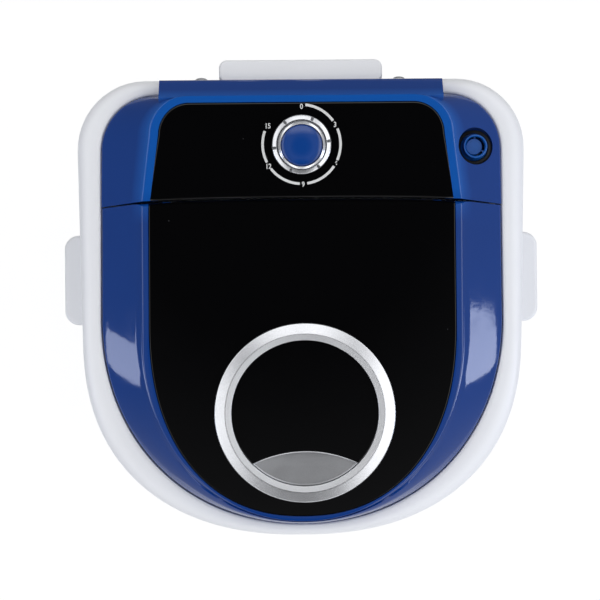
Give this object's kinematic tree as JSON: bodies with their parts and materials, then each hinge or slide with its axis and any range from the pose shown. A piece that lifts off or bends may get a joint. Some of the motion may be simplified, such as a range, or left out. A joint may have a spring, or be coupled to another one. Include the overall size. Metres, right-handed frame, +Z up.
{
  "type": "washing machine",
  "caption": "Small top-loading tub washing machine with a D-shaped body, hinged sloping lid with a trim ring and finger scoop, timer knob and water inlet.",
  "frame": {"origin": "middle of the bounding box on the floor plane, under the feet", "axes": "+Z up, +X to the right seen from the front, +Y to the back; the lid slopes down to the front, -Y"},
  "size_m": [0.375, 0.3666, 0.521],
  "materials": {
    "white_shell": "satin white ABS",
    "blue_gloss": "glossy blue ABS",
    "black_gloss": "piano black acrylic",
    "silver_trim": "brushed silver, metallised plastic",
    "grey_plastic": "matte",
    "tub_plastic": "smooth polypropylene",
    "cream_plastic": "matte",
    "rubber": "matte",
    "steel": "bright",
    "zinc_plate": "zinc plated",
    "motor_enamel": "enamel"
  },
  "bodies": {
    "cabinet": {"outer_casing": "white_shell", "left_handle": "white_shell", "right_handle": "white_shell", "hose_hook": "white_shell", "rear_cover": "white_shell", "top_deck": "white_shell", "console_housing": "blue_gloss", "inlet_spigot": "blue_gloss", "control_panel": "black_gloss", "base_pan": "grey_plastic", "inlet_duct": "grey_plastic", "drain_grate": "grey_plastic", "drain_outlet": "grey_plastic", "wash_tub": "tub_plastic", "timer_unit": "cream_plastic", "capacitor": "cream_plastic", "foot_front_left": "rubber", "foot_front_right": "rubber", "foot_rear_left": "rubber", "foot_rear_right": "rubber", "shaft_seal": "rubber", "drive_belt": "rubber", "drain_hose": "rubber", "cord_gland": "rubber", "hinge_pin_left": "steel", "hinge_pin_right": "steel", "upper_bearing": "steel", "lower_bearing": "steel", "bracket_bolt_1": "steel", "bracket_bolt_2": "steel", "bracket_bolt_3": "steel", "bracket_bolt_4": "steel", "rear_cover_screw_1": "steel", "rear_cover_screw_2": "steel", "rear_cover_screw_3": "steel", "rear_cover_screw_4": "steel", "bearing_housing": "zinc_plate", "motor_bracket": "zinc_plate", "capacitor_clamp": "zinc_plate", "motor_body": "motor_enamel"},
    "lid": {"lid_frame": "blue_gloss", "lid_panel": "black_gloss", "lid_ring": "silver_trim", "lid_scoop": "silver_trim"},
    "knob": {"knob_skirt": "silver_trim", "knob_ring": "silver_trim", "knob_cap": "blue_gloss", "timer_shaft": "steel"},
    "wash_drive": {"pulsator": "blue_gloss", "pulsator_screw": "steel", "drive_shaft": "steel", "driven_pulley": "grey_plastic", "pulley_nut": "steel"},
    "motor_rotor": {"motor_shaft": "steel", "motor_pulley": "zinc_plate"}
  },
  "joints": [
    {"name": "lid_hinge", "type": "hinge", "parent": "cabinet", "child": "lid", "pos_m": [0, 0.06585, 0.4894], "axis": [-1, 0, 0], "range_deg": [0, 100]},
    {"name": "timer_knob", "type": "hinge", "parent": "cabinet", "child": "knob", "pos_m": [0, 0.1182, 0.50369], "axis": [0, 0.1478, -0.989], "range_deg": [0, 300]},
    {"name": "pulsator_spin", "type": "hinge", "parent": "cabinet", "child": "wash_drive", "pos_m": [0, -0.0104, 0.157], "axis": [0, 0, 1], "continuous": true},
    {"name": "motor_spin", "type": "hinge", "parent": "cabinet", "child": "motor_rotor", "pos_m": [-0.07199, 0.0754, 0.058], "axis": [0, 0, 1], "continuous": true}
  ],
  "couplings": [
    {"joint": "motor_spin", "follows": "pulsator_spin", "ratio": 3.5568}
  ]
}
